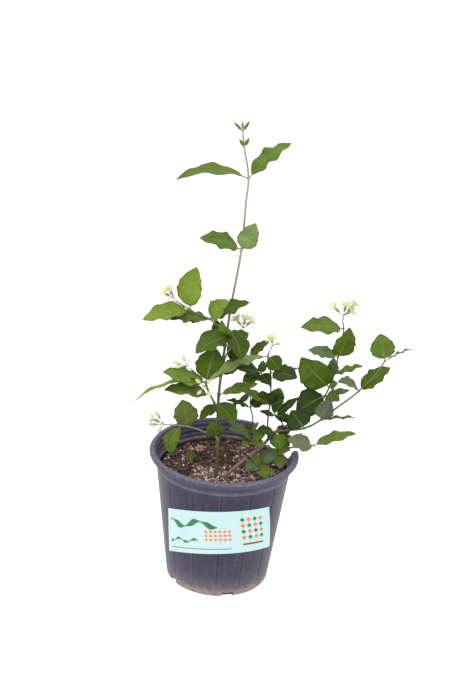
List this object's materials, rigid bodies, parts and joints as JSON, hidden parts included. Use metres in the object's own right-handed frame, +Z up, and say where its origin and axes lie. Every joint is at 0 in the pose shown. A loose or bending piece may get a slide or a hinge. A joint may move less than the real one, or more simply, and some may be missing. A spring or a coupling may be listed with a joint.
{
  "type": "potted arabian jasmine",
  "caption": "Young evergreen flowering shrub with glossy leaves, wiry stems and small pale blooms, growing in a tapered plastic nursery pot with a torn rim",
  "frame": {"origin": "centre of the pot's flat underside", "axes": "+Z up along the pot's axis; -Y towards the front, where the label is; +X to the right"},
  "size_m": [0.358, 0.2, 0.6414],
  "materials": {
    "pot": "satin",
    "label": "satin",
    "soil": "matte",
    "leaf": "satin",
    "young_stem": "satin",
    "woody_stem": "matte",
    "flower": "matte"
  },
  "bodies": {
    "root": {"bud_right_end": "flower", "buds_front": "flower", "buds_left": "flower", "fallen_flower": "flower", "flower_middle": "flower", "flowers_centre": "flower", "flowers_left": "flower", "flowers_low_left": "flower", "flowers_top_right": "flower", "label": "label", "leaf_front_low": "leaf", "leaf_inner_strip": "leaf", "leaf_inner_top": "leaf", "leaf_leader_base": "leaf", "leaf_leader_grey": "leaf", "leaf_leader_narrow": "leaf", "leaf_low_left_down": "leaf", "leaf_low_left_up": "leaf", "leaf_middle_pointed": "leaf", "leaf_right_first": "leaf", "leaf_upper_right_top": "leaf", "leaves_front": "leaf", "leaves_front_first": "leaf", "leaves_inner_dark": "leaf", "leaves_inner_rosette": "leaf", "leaves_inner_small": "leaf", "leaves_leader_bud": "leaf", "leaves_leader_high": "leaf", "leaves_leader_mid": "leaf", "leaves_leader_shaded": "leaf", "leaves_leader_top": "leaf", "leaves_left_first": "leaf", "leaves_left_second": "leaf", "leaves_left_third": "leaf", "leaves_low_shoot": "leaf", "leaves_middle_cluster": "leaf", "leaves_middle_top": "leaf", "leaves_middle_twig": "leaf", "leaves_outer_end": "leaf", "leaves_outer_first": "leaf", "leaves_right_end": "leaf", "leaves_right_second": "leaf", "leaves_right_third": "leaf", "leaves_short_shoot": "leaf", "leaves_trunk": "leaf", "leaves_upper_right_big": "leaf", "leaves_upper_right_high": "leaf", "leaves_upper_right_low": "leaf", "leaves_upper_right_mid": "leaf", "low_shoot": "woody_stem", "main_stem": "young_stem", "outer_shoot": "woody_stem", "pot": "pot", "soil": "soil", "soil_leaf": "leaf", "sprout": "young_stem", "woody_stem": "woody_stem"}
  },
  "joints": []
}
